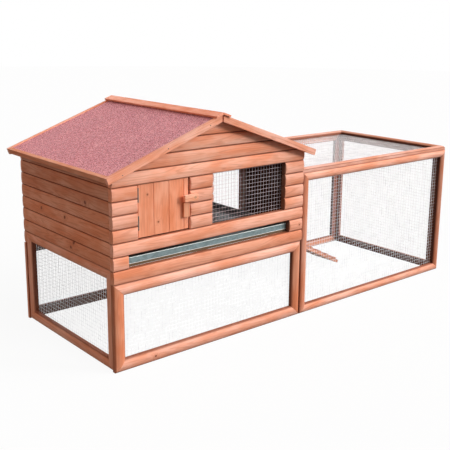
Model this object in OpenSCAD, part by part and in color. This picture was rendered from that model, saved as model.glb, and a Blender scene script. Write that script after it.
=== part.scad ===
// Outdoor rabbit run: a gabled house with log-faced walls on the left, raised over an open
// storey, joined to a long low wire run with a lift-up wire lid. Stained softwood frames of
// half-round moulding, welded wire, galvanised tray, mineral felt roof.
//
// The modules work in the hutch frame: X runs right along the front, Y runs back, Z runs up
// from the ground, zero is the foot of the house's front left corner. place() moves it so that
// the part's own origin is on the ground under the middle of the whole.

/* [Overall] */
// Width of the house along the front
house_w = 754; // [680:1:920]
// Depth of the house and of the run, front seams to back seams
depth = 572; // [540:1:700]
// Length of the run along the front
run_l = 818; // [660:1:1100]
// Height of the run's frames, up to the lid's seam
run_h = 509; // [430:1:530]

/* [House walls] */
// Height of the open storey, ground to the underside of the front's log wall
leg_h = 272; // [220:1:330]
// Height of one log board with its seam
log_pitch = 40.5; // [34:0.5:49]
// Seam between two log boards
log_seam = 0.4; // [0.3:0.1:1]
// Thickness of a log board behind its round face
log_flat = 12; // [9:0.5:16]
// How far the round face of a log board stands out
log_sag = 8; // [4:0.5:10]
// Rounding of a log board's long edges, as a part of how far its face stands out
log_edge_part = 0.75; // [0.3:0.05:0.85]
// Part of a log board's height left on the board under each eave
top_board_part = 0.8; // [0.5:0.01:0.95]
// Rounding of the log ends beside the door and the window
log_end_r = 5; // [3:0.5:7]
// Thickness of the upright battens behind the boards
batten_t = 15; // [10:1:20]
// Width of the upright battens
batten_w = 20; // [14:1:24]

/* [Front openings] */
// Left edge of the door opening, from the house's left side
door_x = 86; // [75:0.5:120]
// Width of the door opening
door_open_w = 187; // [150:0.5:210]
// Width of the log piece between door and window
middle_w = 86; // [80:1:140]
// Width of the window
window_w = 310; // [220:1:330]
// Left edge of the tray slot, from the house's left side
slot_x = 53; // [48:0.5:80]
// Width of the tray slot
slot_w = 641; // [560:1:645]

/* [Frames] */
// Face width of the mouldings in the house's front and rear frames
front_frame_w = 36; // [28:1:44]
// Face width of the mouldings in the frames under the house's side walls
side_frame_w = 32; // [26:1:40]
// Face width of the mouldings in the run's frames and in the lid
run_frame_w = 29; // [24:1:36]
// Thickness of a frame's moulding behind its round face
frame_flat = 12; // [9:0.5:15]
// How far the round face of a frame's moulding stands out
frame_sag = 7; // [4:0.5:9]
// Thickness of the lid's moulding behind its round face
lid_flat = 8; // [5:0.5:12]

/* [Wire] */
// Thickness of the drawn wire
wire_t = 1.2; // [0.8:0.1:2]
// Spacing of the welded wire
wire_pitch = 12.7; // [12.7:0.1:25.4]
// Only one wire in this many is drawn on the large panels
wire_step = 4; // [4:1:8]
// Only one wire in this many is drawn in the window
window_wire_step = 2; // [2:1:4]
// How far a net laps over the frame that holds it
wire_lap = 8; // [6:0.5:12]

/* [Roof] */
// Pitch of the roof in degrees
roof_angle = 19.7; // [14:0.1:26]
// Overhang of the eaves past the side walls
eave_over = 30; // [20:1:45]
// Overhang of the roof in front
front_over = 29; // [22:1:45]
// Overhang of the roof behind
back_over = 26; // [20:1:45]
// Thickness of the roof boards
roof_board_t = 9; // [6:0.5:12]
// Thickness of the felt
felt_t = 2; // [1:0.5:4]
// Thickness of the wooden trims round the roof's edge
trim_t = 12; // [8:1:16]
// Height of the gable trims
gable_trim_h = 20; // [16:1:28]
// Height of the eave trims
eave_trim_h = 17; // [14:1:22]
// How far the trims stand above the felt
trim_proud = 3; // [1:0.5:5]
// Gap between the two gable trims at the ridge
trim_slit = 5; // [2:0.5:8]
// Width of each board of the ridge cap, along the slope
cap_w = 27; // [22:1:48]
// Thickness of the ridge cap's boards
cap_t = 6; // [5:0.5:10]
// How far the ridge cap runs past the gable trims
cap_over = 5; // [2:1:12]

/* [Door] */
// Thickness of the door's boards
door_t = 12; // [9:0.5:12]
// Gap under the door
door_gap_low = 4; // [2:0.5:6]
// Gap above the door
door_gap_top = 1.5; // [1:0.5:4]
// Gap between the door and the log ends on the latch side
door_gap_side = 2.5; // [2:0.5:5]
// Width of the narrow board at the door's latch edge
door_strip_w = 17; // [12:1:24]
// Width of the ledges across the door's back
ledge_w = 30; // [20:1:40]
// Thickness of the ledges across the door's back
ledge_t = 10; // [8:1:14]
// Height of the pull block on the door
pull_h = 45; // [35:1:50]
// Width of the pull block
pull_w = 21; // [16:1:26]
// How far the pull block stands out of the door
pull_t = 9; // [8:1:16]
// Length of the turn button
button_l = 50.5; // [44:0.5:56]
// Height of the turn button
button_h = 20; // [14:1:20]
// Thickness of the turn button
button_t = 10; // [8:1:16]
// Radius of the turn button's screw
screw_r = 2; // [1.5:0.1:2.5]

/* [Hinges] */
// Radius of the hinge barrels
barrel_r = 2.4; // [2:0.1:2.6]
// Radius of the hinge pins
pin_r = 1.2; // [0.8:0.1:1.4]
// Thickness of the hinge leaves
leaf_t = 1; // [0.8:0.1:1.2]
// Length of a door hinge
door_hinge_l = 42; // [36:1:50]
// Length of a lid or ramp hinge
strap_hinge_l = 40; // [30:1:50]
// Width of a hinge leaf
leaf_w = 14; // [11:0.5:15]

/* [Floor and tray] */
// Thickness of the floor panel
floor_t = 8; // [6:0.5:10]
// Height of the tray
tray_h = 21; // [14:1:23]
// Thickness of the tray's sheet
sheet_t = 1; // [0.8:0.1:1.5]
// Gap between the tray and the sides of its slot
tray_gap = 2.5; // [1:0.5:5]

/* [Doorway and ramp] */
// Front edge of the doorway in the house's right wall
doorway_y = 293; // [250:1:326]
// Width of the doorway
doorway_w = 190; // [150:1:220]
// Width of the ramp
ramp_w = 140; // [120:1:180]
// Thickness of the ramp's board
ramp_t = 12; // [6:0.5:14]
// Slope of the ramp in degrees
ramp_angle = 26.5; // [24:0.5:34]
// Spacing of the ramp's cleats
cleat_pitch = 55; // [40:1:80]
// Width of a cleat
cleat_w = 14; // [10:1:20]
// Height of a cleat
cleat_t = 6; // [4:0.5:9]

/* [Hidden] */
// Clearance between two fixed pieces that meet
fit = 0.3;
// Clearance between a pin or screw and the bore that turns on it
running = 0.05;
// How far a cutting shape runs past what it cuts
cut = 1;
// The seams between the front's and the back's log boards lie this far behind y = 0
front_in = 3;
// The side walls' seams and frames lie this far in from x = 0
side_in = 7;
// The rear wall's boards stop this far short of the side
rear_log_in = 5;
// Gap between the house's side and the run
run_gap = 3;
// Gap between the upright and the level wires of a net
weld_gap = 0.1;
// Gap between the window's net and the battens beside it
batten_clear = 8;

// Rows of log boards below the gable, and in the gable
wall_rows = 7;
gable_rows = 4;
slot_row = 1;
door_row = 3;
doorway_rows = 5;

board_h = log_pitch - log_seam;
log_edge_r = log_edge_part * log_sag;
// From a log board's middle to the middle of the rounding of its edges
log_edge_at = board_h / 2 - log_edge_r;
// The crown between the two roundings: its radius, and half its height
log_crown_r = (log_sag * log_sag - log_edge_r * log_edge_r + log_edge_at * log_edge_at)
    / (2 * (log_sag - log_edge_r));
log_crown = log_crown_r * log_edge_at / (log_crown_r - log_edge_r);
front_back = front_in + log_flat;
side_back = side_in + log_flat;
inner_front = front_back + fit;
inner_rear = depth - inner_front;
frame_front = front_in + max(frame_flat, log_flat) + fit;
run_end_front = front_in + frame_flat + fit;
frame_rear = depth - frame_front;
net_t = 2 * wire_t + weld_gap;
gable_z = row_z(wall_rows);
slot_z = row_z(slot_row);
door_z = row_z(door_row);
side_top = gable_z + top_board_part * board_h;
middle_x = door_x + door_open_w;
window_x = middle_x + middle_w;
right_log_x = window_x + window_w;

function row_z(row) = leg_h + row * log_pitch;

// Radius of a round face that stands out by sag over the width w
function face_r(w, sag) = (w * w / 4 + sag * sag) / (2 * sag);

// How far the log boards stand out in front of their seams at height z
function log_face(z) =
    let (up = (z - leg_h) / log_pitch,
        t = abs(min((up - floor(up)) * log_pitch, board_h) - board_h / 2),
        past = min(t - log_edge_at, log_edge_r))
    t < log_crown ? sqrt(log_crown_r * log_crown_r - t * t) - log_crown_r + log_sag
        : sqrt(log_edge_r * log_edge_r - past * past);

// Roof: its boards rest on the outer edges of the side walls
roof_t = felt_t + roof_board_t;
felt_gap = 0.1;
house_mid = house_w / 2;
side_crest = side_in - log_sag;
ridge_z = side_top + fit + (house_mid - side_crest) * tan(roof_angle) + roof_t / cos(roof_angle);
slope_l = (house_mid + eave_over) / cos(roof_angle);
roof_start = roof_t * tan(roof_angle) + fit;
roof_y0 = -front_over;
roof_y1 = depth + back_over;

// Floor and tray
floor_z = slot_z;
floor_top = floor_z + floor_t;
tray_forward = 2;
tray_y = front_back - tray_forward;
tray_end_gap = 5;
tray_z = floor_top + fit;
bead_r = 1.5;
bead_proud = 1;

// Door: its hinge leaves lie in the gap between the door's edge and the log ends
leaf_off = leaf_t + fit / 2;
door_axis_x = door_x + barrel_r + fit;
door_left = door_axis_x + leaf_off + fit;
door_right = middle_x - door_gap_side;
door_y = front_back - door_t;
door_axis_y = door_y - barrel_r - fit;
door_low = door_z + door_gap_low;
door_top = gable_z - door_gap_top;
door_hinge_low = 24;
door_hinge_top = 8;
door_seam = 0.5;
door_chamfer = 1;
ledge_inset = 8;
ledge_part = 0.2;
pull_low = 38;
pull_edge = 2;
pull_z = door_low + pull_low;
stop_lap = 9;
button_gap = 0.8;
button_end = 12;
button_chamfer = 3;
button_clear = 2.5;
button_rise = 4;
button_x = door_right + button_h / 2 + button_clear;
button_y = front_in - log_sag - button_gap;
button_z = pull_z + pull_h + button_rise + button_h / 2;
screw_head_r = 4;
screw_head_t = 2;
screw_depth = 14;

// Run and lid
run_x = house_w + run_gap;
run_right = run_x + run_l;
end_x = run_right - frame_sag - frame_flat;
lid_seam = 0.5;
lid_z = run_h + lid_seam;
lid_top = lid_z + lid_flat + frame_sag;
lid_net_gap = 1;

// Lid hinges: the fixed leaves stand against the log boards, and the moving ones reach over the
// crest of the lid's moulding
lid_axis_z = lid_top + fit + barrel_r;
leaf_steps = 16;
lid_hinge_out = max([for (i = [0 : leaf_steps])
    log_face(lid_axis_z - barrel_r + i * (barrel_r + leaf_w) / leaf_steps)]);
lid_axis_x = house_w - side_in + lid_hinge_out + fit + barrel_r;
leaf_over = 1;
lid_leaf_w = max(leaf_w, run_x + run_frame_w / 2 + leaf_over - lid_axis_x);
lid_hinge_y = 100;

// Ramp: it hangs on the rail under the doorway and its foot is on the ground
ramp_axis_x = house_w - side_in + frame_sag + fit + barrel_r;
ramp_axis_drop = 6;
ramp_axis_z = slot_z - fit - side_frame_w / 2 - ramp_axis_drop;
ramp_face = barrel_r + fit;
ramp_drop = ramp_face + ramp_t;
ramp_l = (ramp_axis_z - ramp_drop * cos(ramp_angle)) / sin(ramp_angle);
ramp_start = 6;
ramp_y = doorway_y + (doorway_w - ramp_w) / 2;
ramp_hinge_y = 20;
cleat_start = 40;
cleat_end = 10;
cleat_count = floor((ramp_l - cleat_start - cleat_w - cleat_end) / cleat_pitch) + 1;

// Middle of the whole, seen from above
x_mid = (run_right - eave_over - trim_proud * sin(roof_angle)) / 2;
y_mid = (roof_y0 + roof_y1) / 2;

// ---- Placing and colours -------------------------------------------------------------------

module place() {
    translate([-x_mid, -y_mid, 0]) children();
}

// Mirrors a piece from the left side of the house to the right
module other_side() {
    translate([house_w, 0, 0]) mirror([1, 0, 0]) children();
}

// Mirrors a piece from the front to the back
module at_rear() {
    translate([0, depth, 0]) mirror([0, 1, 0]) children();
}

// Turns a piece of the front plane into the left side plane: its left end is in front, its
// round face looks left and its y = 0 comes to x = 0
module on_left() {
    mirror([1, -1, 0]) children();
}

module fir() { color([0.88, 0.56, 0.42]) children(); }
module fir_dark() { color([0.62, 0.36, 0.26]) children(); }
module panel_wood() { color([0.80, 0.62, 0.44]) children(); }
module mineral_felt() { color([0.76, 0.50, 0.55]) children(); }
module steel_wire() { color([0.72, 0.73, 0.74]) children(); }
module zinc() { color([0.62, 0.67, 0.67]) children(); }

// ---- Stock ---------------------------------------------------------------------------------

// Bar along +X with one round face towards -Y. Its round face ends at y = 0 and its back is
// at y = flat
module round_bar(l, w, flat, sag) {
    r = face_r(w, sag);
    rotate([90, 0, 90]) linear_extrude(l) intersection() {
        translate([r - sag, w / 2]) circle(r = r, $fn = 96);
        translate([-sag - cut, 0]) square([sag + cut + flat, w]);
    }
}

// Log board along +X, its face's lower edge at y = 0 and z = 0: a flat crown between two
// rounded edges. Only its lowest h is kept
module log_board(l, h = board_h) {
    deep = log_sag + cut + log_flat;
    rotate([90, 0, 90]) linear_extrude(l) intersection() {
        union() {
            intersection() {
                translate([log_crown_r - log_sag, board_h / 2]) circle(r = log_crown_r, $fn = 96);
                translate([-log_sag - cut, board_h / 2 - log_crown]) square([deep, 2 * log_crown]);
            }
            for (z = [log_edge_r, board_h - log_edge_r])
                translate([0, z]) circle(r = log_edge_r, $fn = 96);
            square([log_flat, board_h]);
        }
        translate([-log_sag - cut, 0]) square([deep, h]);
    }
}

// Log board whose chosen ends are rounded in plan
module short_log(l, round_left, round_right) {
    difference() {
        log_board(l);
        if (round_left) log_end_cut();
        if (round_right) translate([l, 0, 0]) mirror([1, 0, 0]) log_end_cut();
    }
}

// What the rounding takes off the left end of a log board
module log_end_cut() {
    translate([0, -log_sag, -cut]) difference() {
        translate([-cut, -cut, 0]) cube([log_end_r + cut, log_end_r + cut, board_h + 2 * cut]);
        translate([log_end_r, log_end_r, -cut])
            cylinder(r = log_end_r, h = board_h + 4 * cut, $fn = 64);
    }
}

// Moulding along +X with mitred ends, its long edge on z = 0
module mitred_bar(l, w, flat) {
    g = fit / 2;
    intersection() {
        round_bar(l, w, flat, frame_sag);
        rotate([90, 0, 0]) translate([0, 0, -flat - cut])
            linear_extrude(flat + frame_sag + 2 * cut)
                polygon([[g, 0], [l - g, 0], [l - w - g, w], [w + g, w]]);
    }
}

// Frame of four mitred mouldings in the plane of X and Z, round faces towards -Y
module mitred_frame(l, h, w, flat = frame_flat) {
    mitred_bar(l, w, flat);
    translate([0, 0, h]) mirror([0, 0, 1]) mitred_bar(l, w, flat);
    mirror([1, 0, -1]) mitred_bar(h, w, flat);
    translate([l, 0, 0]) rotate([0, -90, 0]) mitred_bar(h, w, flat);
}

// Welded wire net in the plane of X and Z, its back at y = net_t: upright wires in front and
// level wires behind them
module net(l, h, step) {
    nx = round(l / (wire_pitch * step));
    nz = round(h / (wire_pitch * step));
    for (i = [0 : nx]) translate([i * (l - wire_t) / nx, 0, 0]) cube([wire_t, wire_t, h]);
    for (i = [0 : nz]) translate([0, wire_t + weld_gap, i * (h - wire_t) / nz])
        cube([l, wire_t, wire_t]);
}

// Net behind a mitred frame of the same length, height and width
module frame_net(l, h, w, flat = frame_flat) {
    edge = w - wire_lap;
    translate([edge, flat + fit, edge]) net(l - 2 * edge, h - 2 * edge, wire_step);
}

// Hinge leaf on an axis along +Z. Its plate's outer face is at x = off and it reaches to
// y = w. The fixed leaf carries the two end barrels and the pin
module hinge_leaf(l, off, moving, w = leaf_w) {
    third = l / 3;
    low = moving ? third + fit / 2 : 0;
    high = moving ? 2 * third - fit / 2 : l;
    difference() {
        union() {
            translate([off - leaf_t, barrel_r + fit, 0]) cube([leaf_t, w - barrel_r - fit, l]);
            translate([off - leaf_t, 0, low]) cube([leaf_t, barrel_r + 2 * fit, high - low]);
            translate([0, 0, low]) cylinder(r = barrel_r, h = high - low, $fn = 48);
        }
        if (moving)
            translate([0, 0, -cut]) cylinder(r = pin_r + running, h = l + 2 * cut, $fn = 48);
        else
            translate([-barrel_r - cut, -barrel_r - cut, third - fit / 2])
                cube([2 * (barrel_r + cut), 2 * barrel_r + cut + fit, third + fit]);
    }
    if (!moving) cylinder(r = pin_r, h = l, $fn = 48);
}

// Leaves of a hinge with its axis along +Y: the fixed one stands against a wall on its left,
// the moving one lies on a face below the axis and reaches to the right
module wall_leaf(l) {
    rotate([90, 0, 180]) hinge_leaf(l, barrel_r, false);
}
module flap_leaf(l, w = leaf_w) {
    translate([0, l, 0]) rotate([90, 90, 0]) hinge_leaf(l, barrel_r, true, w);
}

// ---- Open storey ---------------------------------------------------------------------------

module front_frame_at() {
    translate([0, front_in, 0]) children();
}
front_frame_h = leg_h - fit;

module front_frame() {
    fir() place() front_frame_at() mitred_frame(house_w, front_frame_h, front_frame_w);
}
module front_frame_mesh() {
    steel_wire() place() front_frame_at() frame_net(house_w, front_frame_h, front_frame_w);
}
module rear_frame() {
    fir_dark() place() at_rear() front_frame_at()
        mitred_frame(house_w, front_frame_h, front_frame_w);
}
module rear_frame_mesh() {
    steel_wire() place() at_rear() front_frame_at()
        frame_net(house_w, front_frame_h, front_frame_w);
}

// Frames under the side walls, between the front and the rear frame
side_frame_l = frame_rear - frame_front;
side_frame_h = slot_z - fit;

module side_frame_at() {
    on_left() translate([frame_front, side_in, 0]) children();
}
module left_frame() {
    fir_dark() place() side_frame_at() mitred_frame(side_frame_l, side_frame_h, side_frame_w);
}
module left_frame_mesh() {
    steel_wire() place() side_frame_at() frame_net(side_frame_l, side_frame_h, side_frame_w);
}

// The right side is open to the run below this rail
module right_head_rail() {
    fir_dark() place() other_side() side_frame_at()
        translate([0, 0, side_frame_h - side_frame_w])
            round_bar(side_frame_l, side_frame_w, frame_flat, frame_sag);
}

// ---- Floor ---------------------------------------------------------------------------------

bearer_w = 20;

module floor_bearer() {
    translate([side_in + frame_flat + fit, frame_front, floor_z - fit - bearer_w])
        cube([bearer_w, frame_rear - frame_front, bearer_w]);
}
module floor_bearers() {
    fir_dark() place() {
        floor_bearer();
        other_side() floor_bearer();
    }
}
module floor_panel() {
    panel_wood() place() translate([side_back + fit, inner_front, floor_z])
        cube([house_w - 2 * (side_back + fit), inner_rear - inner_front, floor_t]);
}

// ---- Front wall ----------------------------------------------------------------------------

// Places a board of the front wall at x in one row
module front_row(x, row) {
    translate([x, front_in, row_z(row)]) children();
}

module front_log_bottom() {
    fir() place() front_row(0, 0) log_board(house_w);
}
module front_logs_slot() {
    fir() place() {
        front_row(0, slot_row) short_log(slot_x, false, true);
        front_row(slot_x + slot_w, slot_row)
            short_log(house_w - slot_x - slot_w, true, false);
    }
}
module front_log_sill() {
    fir() place() front_row(0, slot_row + 1) log_board(house_w);
}
module front_logs_left() {
    fir() place() for (row = [door_row : wall_rows - 1])
        front_row(0, row) short_log(door_x, false, true);
}
module front_logs_middle() {
    fir() place() difference() {
        for (row = [door_row : wall_rows - 1])
            front_row(middle_x, row) short_log(middle_w, true, true);
        translate([button_x, button_y, button_z]) rotate([-90, 0, 0])
            cylinder(r = screw_r + running, h = screw_depth + cut, $fn = 48);
    }
}
module front_logs_right() {
    fir() place() for (row = [door_row : wall_rows - 1])
        front_row(right_log_x, row) short_log(house_w - right_log_x, true, false);
}

// Upright batten behind the front boards, from the sill board up into the gable
module front_batten(x) {
    z = row_z(slot_row + 1) + fit;
    translate([x, inner_front, z]) cube([batten_w, batten_t, gable_z + board_h / 2 - z]);
}
module front_battens() {
    fir_dark() place() {
        front_batten(door_x - batten_w);
        front_batten(middle_x - stop_lap);
        front_batten(window_x - wire_lap - batten_clear - batten_w);
        front_batten(right_log_x + wire_lap + batten_clear);
    }
}

// ---- Side and rear walls -------------------------------------------------------------------

// Places a board of the left wall in one row, starting at y
module side_row(y, row) {
    on_left() translate([y, side_in, row_z(row)]) children();
}
side_log_l = inner_rear - inner_front;
doorway_end = doorway_y + doorway_w;

module side_logs(rows) {
    for (row = rows)
        side_row(inner_front, row) log_board(side_log_l, row < wall_rows ? board_h
            : side_top - gable_z);
}
module left_wall_logs() {
    fir_dark() place() side_logs([slot_row : wall_rows]);
}
module right_wall_logs_front() {
    fir_dark() place() other_side() for (row = [slot_row : doorway_rows])
        side_row(inner_front, row) log_board(doorway_y - inner_front);
}
module right_wall_logs_rear() {
    fir_dark() place() other_side() for (row = [slot_row : doorway_rows])
        side_row(doorway_end, row) log_board(inner_rear - doorway_end);
}
module right_wall_logs_top() {
    fir_dark() place() other_side() side_logs([doorway_rows + 1 : wall_rows]);
}

// Upright battens inside the right wall on both sides of the doorway
module doorway_battens() {
    h = row_z(doorway_rows + 2) - floor_top - 2 * fit;
    fir_dark() place() other_side() for (y = [doorway_y - batten_w, doorway_end])
        translate([side_back + fit, y, floor_top + fit]) cube([batten_t, batten_w, h]);
}

module rear_wall_logs() {
    fir_dark() place() at_rear() for (row = [0 : wall_rows - 1])
        front_row(rear_log_in, row) log_board(house_w - 2 * rear_log_in);
}

// Upright battens in the four inner corners of the house
module corner_batten() {
    z = floor_top + fit;
    translate([side_back + fit, inner_front, z]) cube([batten_t, batten_w, side_top - fit - z]);
}
module corner_battens() {
    fir_dark() place() {
        corner_batten();
        other_side() corner_batten();
        at_rear() corner_batten();
        at_rear() other_side() corner_batten();
    }
}

// ---- Roof ----------------------------------------------------------------------------------

// Bar along Y on the right slope: x0 to x1 is measured down the slope from the ridge, z0 to z1
// square to the felt's face, and nothing is left nearer than gap to the middle of the house
module slope_bar(x0, x1, z0, z1, y0, y1, gap = 0) {
    translate([house_mid, y1, ridge_z]) rotate([90, 0, 0]) linear_extrude(y1 - y0)
        intersection() {
            rotate(-roof_angle) translate([x0, z0]) square([x1 - x0, z1 - z0]);
            translate([gap, -2 * slope_l]) square([2 * slope_l, 4 * slope_l]);
        }
}

// What lies under the roof boards, to cut the gable boards to the slope
module under_roof() {
    z = ridge_z - roof_t / cos(roof_angle) - fit;
    reach = house_mid + eave_over;
    translate([house_mid, depth + log_sag, 0]) rotate([90, 0, 0])
        linear_extrude(depth + 2 * log_sag)
            polygon([[-reach, gable_z], [reach, gable_z], [reach, z - reach * tan(roof_angle)],
                [0, z], [-reach, z - reach * tan(roof_angle)]]);
}

module gable_logs(inset) {
    intersection() {
        for (row = [wall_rows : wall_rows + gable_rows - 1])
            front_row(inset, row) log_board(house_w - 2 * inset);
        under_roof();
    }
}
module front_gable_logs() {
    fir() place() gable_logs(0);
}
module rear_gable_logs() {
    fir_dark() place() at_rear() gable_logs(rear_log_in);
}

module roof_sheet(z0, z1) {
    slope_bar(roof_start, slope_l - trim_t - fit, z0, z1, roof_y0 + trim_t + fit,
        roof_y1 - trim_t - fit);
}
module roof_board_right() {
    fir_dark() place() roof_sheet(-roof_t, -felt_t - felt_gap);
}
module roof_board_left() {
    fir_dark() place() other_side() roof_sheet(-roof_t, -felt_t - felt_gap);
}
module felt_right() {
    mineral_felt() place() roof_sheet(-felt_t, 0);
}
module felt_left() {
    mineral_felt() place() other_side() roof_sheet(-felt_t, 0);
}

module eave_trim() {
    slope_bar(slope_l - trim_t, slope_l, trim_proud - eave_trim_h, trim_proud,
        roof_y0 + trim_t + fit, roof_y1 - trim_t - fit);
}
module eave_trims() {
    fir() place() {
        eave_trim();
        other_side() eave_trim();
    }
}
module gable_trim(y0) {
    slope_bar(-gable_trim_h, slope_l, trim_proud - gable_trim_h, trim_proud, y0, y0 + trim_t,
        trim_slit / 2);
}
module front_gable_trims() {
    fir() place() {
        gable_trim(roof_y0);
        other_side() gable_trim(roof_y0);
    }
}
module rear_gable_trims() {
    fir() place() {
        gable_trim(roof_y1 - trim_t);
        other_side() gable_trim(roof_y1 - trim_t);
    }
}
module cap_board() {
    slope_bar(-cap_w, cap_w, trim_proud + fit, trim_proud + fit + cap_t, roof_y0 - cap_over,
        roof_y1 + cap_over, fit / 2);
}
module ridge_cap() {
    fir() place() {
        cap_board();
        other_side() cap_board();
    }
}

// ---- Window and door -----------------------------------------------------------------------

module window_mesh() {
    steel_wire() place() translate([window_x - wire_lap, inner_front, door_z - wire_lap])
        net(window_w + 2 * wire_lap, gable_z - door_z + 2 * wire_lap, window_wire_step);
}

// Upright board with both front edges chamfered
module door_board(w) {
    c = door_chamfer;
    linear_extrude(door_top - door_low)
        polygon([[0, c], [c, 0], [w - c, 0], [w, c], [w, door_t - fit], [0, door_t - fit]]);
}
door_plank_w = (door_right - door_left - door_strip_w - 3 * door_seam) / 3;

module door_boards() {
    fir() place() translate([door_left, door_y, door_low]) {
        for (i = [0 : 2]) translate([i * (door_plank_w + door_seam), 0, 0])
            door_board(door_plank_w);
        translate([3 * (door_plank_w + door_seam), 0, 0]) door_board(door_strip_w);
    }
}
module door_ledges() {
    h = door_top - door_low;
    fir_dark() place() for (z = [door_low + h * ledge_part, door_top - h * ledge_part])
        translate([door_left + ledge_inset, front_back, z - ledge_w / 2])
            cube([door_right - door_left - 2 * ledge_inset - stop_lap, ledge_t, ledge_w]);
}
module door_pull() {
    fir() place() translate([door_right - pull_edge - pull_w, door_y - fit - pull_t, pull_z])
        cube([pull_w, pull_t, pull_h]);
}

// Heights of the two door hinges
door_hinge_zs = [door_low + door_hinge_low, door_top - door_hinge_top - door_hinge_l];

module at_door_hinges() {
    for (z = door_hinge_zs) translate([door_axis_x, door_axis_y, z]) children();
}
module door_hinges_moving() {
    zinc() place() at_door_hinges() hinge_leaf(door_hinge_l, leaf_off, true);
}
module door_hinges_fixed() {
    zinc() place() at_door_hinges() mirror([1, 0, 0]) hinge_leaf(door_hinge_l, barrel_r, false);
}

// Turn button, its axis along Y; the corners past the pivot are cut off, and the screw's head
// lies in a recess
module turn_button() {
    arm = button_l - button_end;
    half = button_h / 2;
    c = button_chamfer;
    fir() place() translate([button_x, button_y, button_z]) rotate([90, 0, 0]) difference() {
        linear_extrude(button_t) polygon([[-arm, -half], [button_end - c, -half],
            [button_end, c - half], [button_end, half - c], [button_end - c, half],
            [-arm, half]]);
        translate([0, 0, -cut])
            cylinder(r = screw_r + running, h = button_t + 2 * cut, $fn = 48);
        translate([0, 0, button_t - screw_head_t - fit])
            cylinder(r = screw_head_r + fit, h = screw_head_t + fit + cut, $fn = 48);
    }
}
module turn_screw() {
    zinc() place() translate([button_x, button_y - button_t, button_z]) rotate([-90, 0, 0]) {
        cylinder(r = screw_r, h = button_t + screw_depth, $fn = 48);
        cylinder(r = screw_head_r, h = screw_head_t, $fn = 48);
    }
}

// ---- Tray ----------------------------------------------------------------------------------

// Pan with a rolled bead along the top and the bottom of its front
module tray() {
    w = slot_w - 2 * tray_gap;
    l = inner_rear - tray_end_gap - tray_y;
    zinc() place() translate([slot_x + tray_gap, tray_y, tray_z]) {
        difference() {
            cube([w, l, tray_h]);
            translate([sheet_t, sheet_t, sheet_t]) cube([w - 2 * sheet_t, l - 2 * sheet_t, tray_h]);
        }
        for (z = [bead_r, tray_h - bead_r]) translate([0, bead_r - bead_proud, z]) rotate([0, 90, 0])
            cylinder(r = bead_r, h = w, $fn = 32);
    }
}

// ---- Run -----------------------------------------------------------------------------------

module run_front_at() {
    translate([run_x, front_in, 0]) children();
}
module run_front_frame() {
    fir() place() run_front_at() mitred_frame(run_l, run_h, run_frame_w);
}
module run_front_mesh() {
    steel_wire() place() run_front_at() frame_net(run_l, run_h, run_frame_w);
}

// The back frame stops at the end frame
run_back_l = end_x - fit - run_x;

module run_back_frame() {
    fir_dark() place() at_rear() run_front_at() mitred_frame(run_back_l, run_h, run_frame_w);
}
module run_back_mesh() {
    steel_wire() place() at_rear() run_front_at() frame_net(run_back_l, run_h, run_frame_w);
}

// The end frame stands behind the front frame and reaches to the back
run_end_l = depth - front_in - run_end_front;

module run_end_at() {
    translate([run_right, 0, 0]) mirror([1, 0, 0]) on_left()
        translate([run_end_front, frame_sag, 0]) children();
}
module run_end_frame() {
    fir_dark() place() run_end_at() mitred_frame(run_end_l, run_h, run_frame_w);
}
module run_end_mesh() {
    steel_wire() place() run_end_at() frame_net(run_end_l, run_h, run_frame_w);
}

// The lid's frame lies flat, round faces up
lid_d = depth - 2 * front_in;

module lid_frame() {
    fir() place() translate([run_x, front_in, lid_z + lid_flat]) rotate([-90, 0, 0])
        mitred_frame(run_l, lid_d, run_frame_w, lid_flat);
}
module lid_mesh() {
    edge = frame_sag + frame_flat + lid_net_gap;
    steel_wire() place() translate([run_x + edge, front_in + edge, lid_z - fit])
        rotate([-90, 0, 0]) net(run_l - 2 * edge, lid_d - 2 * edge, wire_step);
}

module at_lid_hinges() {
    for (y = [lid_hinge_y, depth - lid_hinge_y - strap_hinge_l])
        translate([lid_axis_x, y, lid_axis_z]) children();
}
module lid_hinges_moving() {
    zinc() place() at_lid_hinges() flap_leaf(strap_hinge_l, lid_leaf_w);
}
module lid_hinges_fixed() {
    zinc() place() at_lid_hinges() wall_leaf(strap_hinge_l);
}

// ---- Ramp ----------------------------------------------------------------------------------

// X runs down the ramp from its hinge, Z square to its board
module on_ramp() {
    translate([ramp_axis_x, ramp_y, ramp_axis_z]) rotate([0, ramp_angle, 0]) children();
}
module ramp_board() {
    fir() place() on_ramp() translate([ramp_start, 0, -ramp_drop])
        cube([ramp_l - ramp_start, ramp_w, ramp_t]);
}
module ramp_cleats() {
    fir() place() on_ramp() for (i = [0 : cleat_count - 1])
        translate([cleat_start + i * cleat_pitch, 0, -ramp_face + fit])
            cube([cleat_w, ramp_w, cleat_t]);
}

ramp_hinge_ys = [ramp_hinge_y, ramp_w - ramp_hinge_y - strap_hinge_l];

module ramp_hinges_moving() {
    zinc() place() on_ramp() for (y = ramp_hinge_ys)
        translate([0, y, 0]) flap_leaf(strap_hinge_l);
}
module ramp_hinges_fixed() {
    zinc() place() translate([ramp_axis_x, ramp_y, ramp_axis_z]) for (y = ramp_hinge_ys)
        translate([0, y, 0]) wall_leaf(strap_hinge_l);
}

// ---- Nodes ---------------------------------------------------------------------------------

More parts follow.
